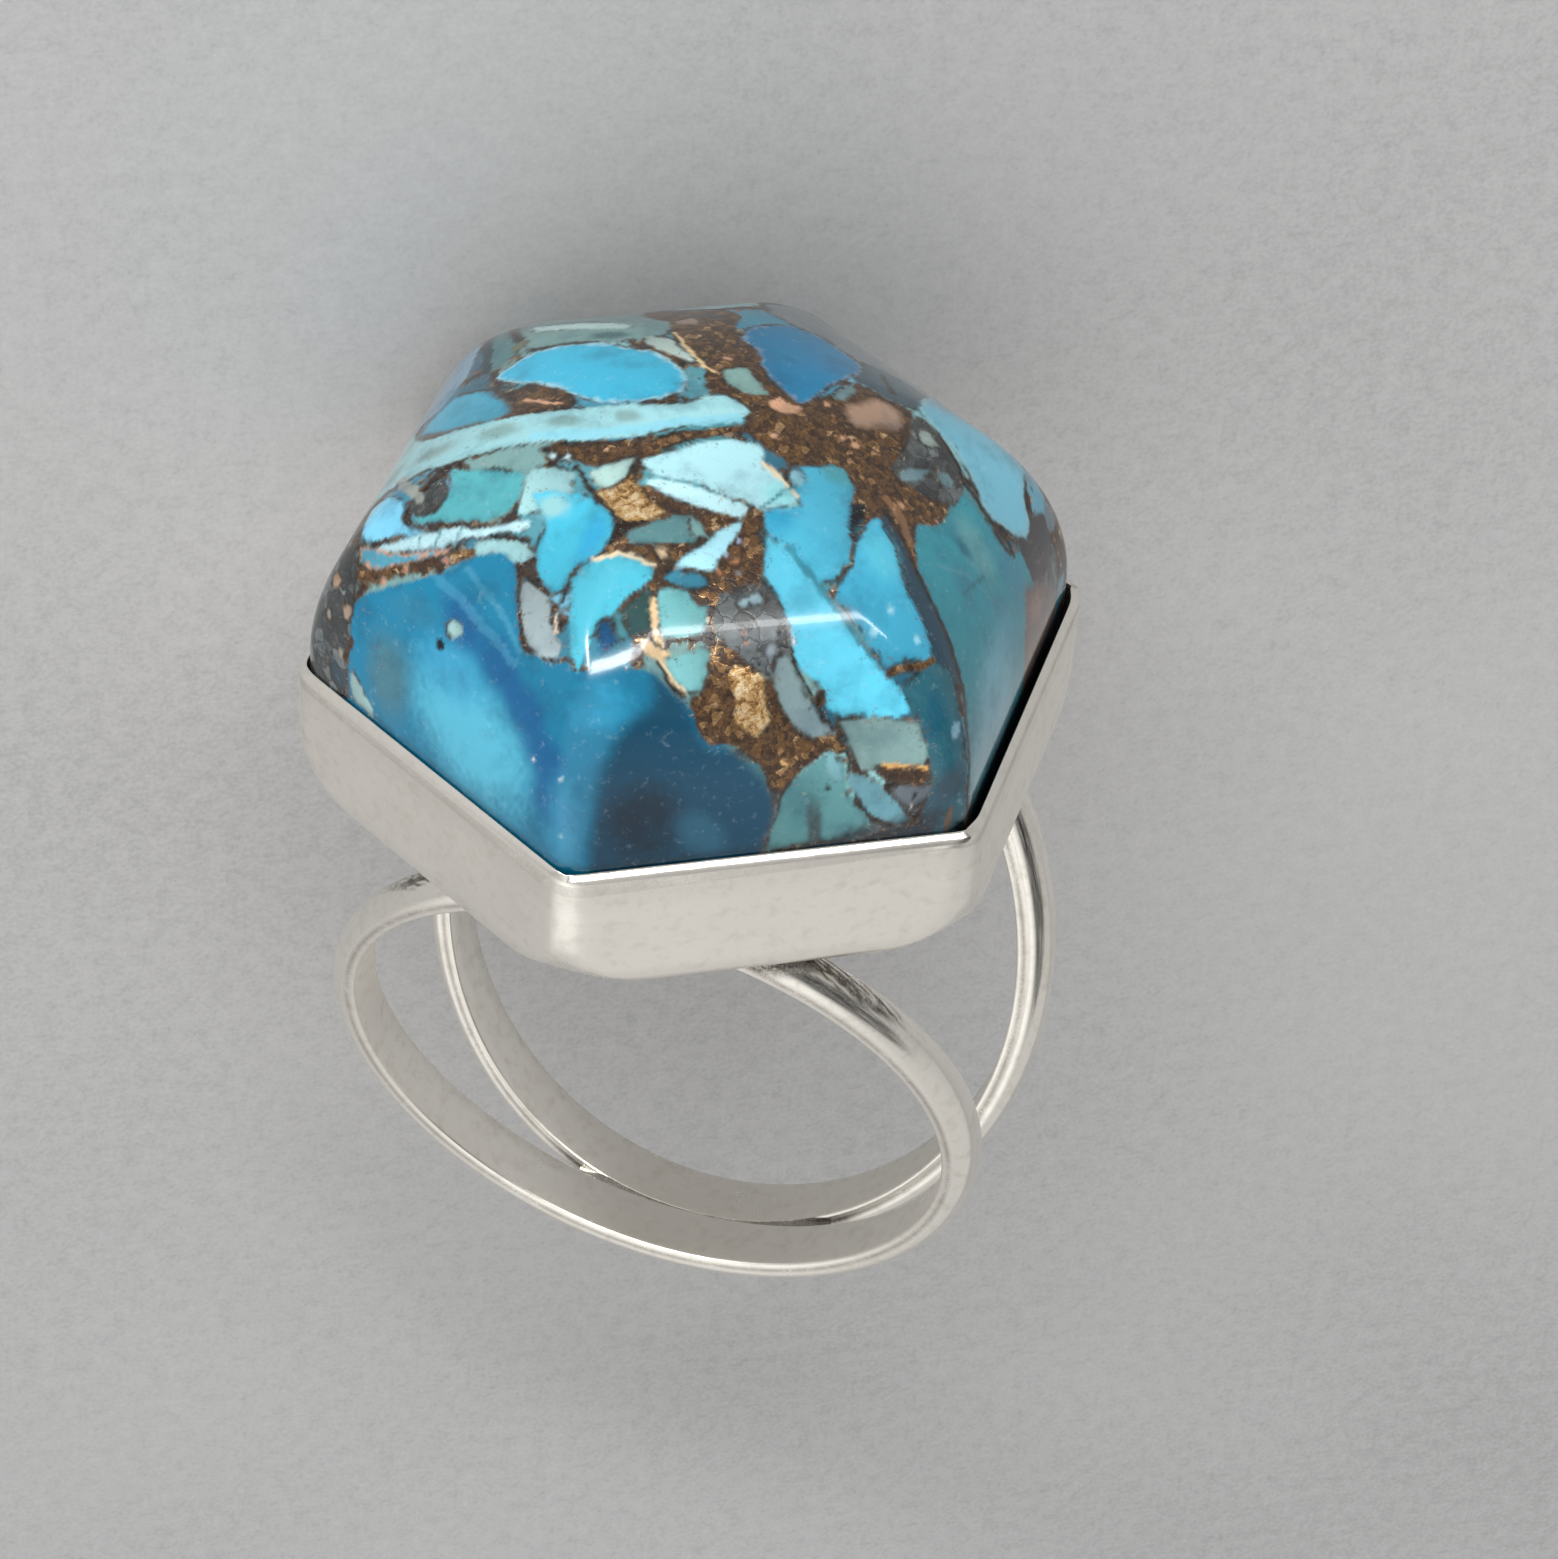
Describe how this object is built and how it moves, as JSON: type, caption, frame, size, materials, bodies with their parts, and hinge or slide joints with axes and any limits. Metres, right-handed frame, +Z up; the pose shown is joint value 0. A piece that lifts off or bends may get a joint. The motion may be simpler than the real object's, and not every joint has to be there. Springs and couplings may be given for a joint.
{
  "type": "domed stone ring",
  "caption": "Silver finger ring with a hexagonal domed cabochon of turquoise in bronze matrix, set in a low bezel cup on a shank of half-round bands that part towards the cup.",
  "frame": {"origin": "middle of the box's underside, on the surface that the ring lies on", "axes": "+Z up from that surface, +Y from the stone's dome towards the far side of the shank, +X along the cup's flat that the ring lies on"},
  "size_m": [0.0232, 0.0328, 0.0208],
  "materials": {
    "silver": "sterling silver, satin with a burnished lip",
    "stone": "glossy composite of turquoise pieces in bronze matrix"
  },
  "bodies": {
    "root": {"silver_setting": "silver", "stone": "stone"}
  },
  "joints": []
}
